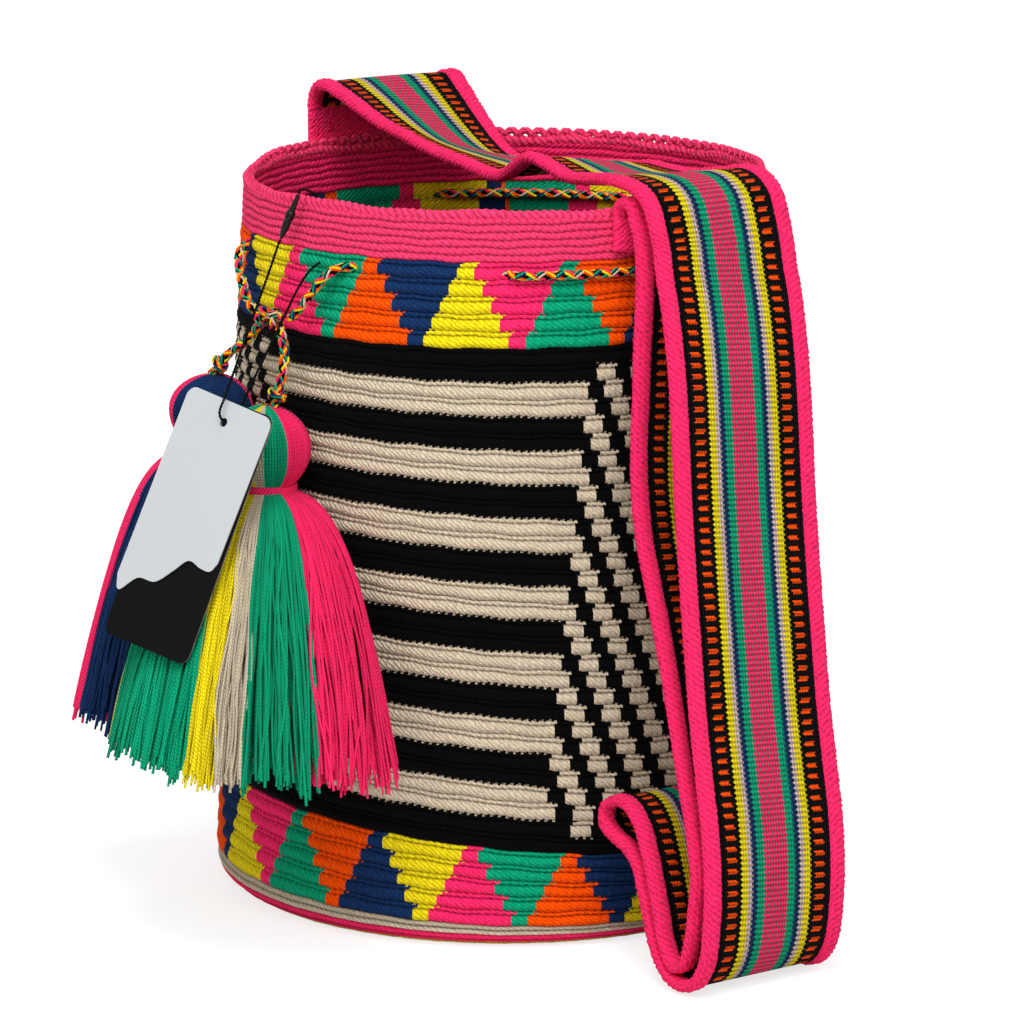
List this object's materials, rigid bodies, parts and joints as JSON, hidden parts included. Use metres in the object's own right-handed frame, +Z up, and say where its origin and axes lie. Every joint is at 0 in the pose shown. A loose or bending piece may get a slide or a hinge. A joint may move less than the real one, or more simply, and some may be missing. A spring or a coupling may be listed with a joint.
{
  "type": "crocheted bucket bag",
  "caption": "Hand-crocheted cylindrical bucket bag with a wide woven shoulder strap, a braided drawstring ending in large yarn tassels, and a hang tag.",
  "frame": {"origin": "middle of the flat round base, on the floor", "axes": "+Z up along the bag's axis, -Y towards the knot and the tassels, +X towards the strap's hanging loop"},
  "size_m": [0.3539, 0.3514, 0.3569],
  "materials": {
    "body_crochet": "crocheted yarn in bands of black, beige, navy, yellow, green, orange and pink",
    "braid": "round braid of several yarns",
    "strap_weave": "warp-faced weave of lengthwise stripes",
    "pink_yarn": "matt yarn",
    "card_black": "black card",
    "card_white": "pale grey card",
    "lock_plastic": "glossy black plastic",
    "black_string": "twisted string",
    "green_yarn": "matt yarn",
    "navy_yarn": "matt yarn",
    "yellow_yarn": "matt yarn",
    "beige_yarn": "matt yarn"
  },
  "bodies": {
    "bag": {"bag_body": "body_crochet", "drawstring": "braid", "drawstring_knot": "braid", "strap_band": "strap_weave", "strap_edge_front": "pink_yarn", "strap_edge_rear": "pink_yarn", "strap_tab_left": "pink_yarn", "strap_tab_right": "pink_yarn", "tag_lock_pin": "lock_plastic", "tag_lock_socket": "lock_plastic", "tag_string": "black_string"},
    "tassel_left": {"cord_end_left": "braid", "cord_stop_left": "braid", "tassel_left_binding": "pink_yarn", "tassel_left_green_hank_3": "green_yarn", "tassel_left_navy_hank_5": "navy_yarn", "tassel_left_pink_hank_1": "pink_yarn", "tassel_left_pink_hank_4": "pink_yarn", "tassel_left_yellow_hank_2": "yellow_yarn"},
    "tassel_right": {"cord_end_right": "braid", "cord_stop_right": "braid", "tassel_right_beige_hank_3": "beige_yarn", "tassel_right_binding": "pink_yarn", "tassel_right_green_hank_2": "green_yarn", "tassel_right_green_hank_5": "green_yarn", "tassel_right_navy_hank_8": "navy_yarn", "tassel_right_pink_hank_1": "pink_yarn", "tassel_right_pink_hank_7": "pink_yarn", "tassel_right_yellow_hank_4": "yellow_yarn", "tassel_right_yellow_hank_6": "yellow_yarn"},
    "card_front": {"tag_card_front": "card_white"},
    "card_back": {"tag_card_back": "card_black"}
  },
  "joints": [
    {"name": "tassel_left_swing", "type": "hinge", "parent": "bag", "child": "tassel_left", "pos_m": [-0.00574, -0.13149, 0.2657], "axis": [-0.1045, -0.9945, 0], "range_deg": [-30, 0]},
    {"name": "tassel_right_swing", "type": "hinge", "parent": "bag", "child": "tassel_right", "pos_m": [0.01427, -0.13137, 0.2653], "axis": [0.2588, -0.9659, 0], "range_deg": [0, 25]},
    {"name": "front_card_swing", "type": "hinge", "parent": "bag", "child": "card_front", "pos_m": [0.0225, -0.1664, 0.2333], "axis": [0.2416, -0.9018, 0.3584], "range_deg": [-15, 12]},
    {"name": "back_card_swing", "type": "hinge", "parent": "bag", "child": "card_back", "pos_m": [0.0225, -0.1664, 0.2333], "axis": [0.2416, -0.9018, 0.3584], "range_deg": [-15, 12]}
  ]
}
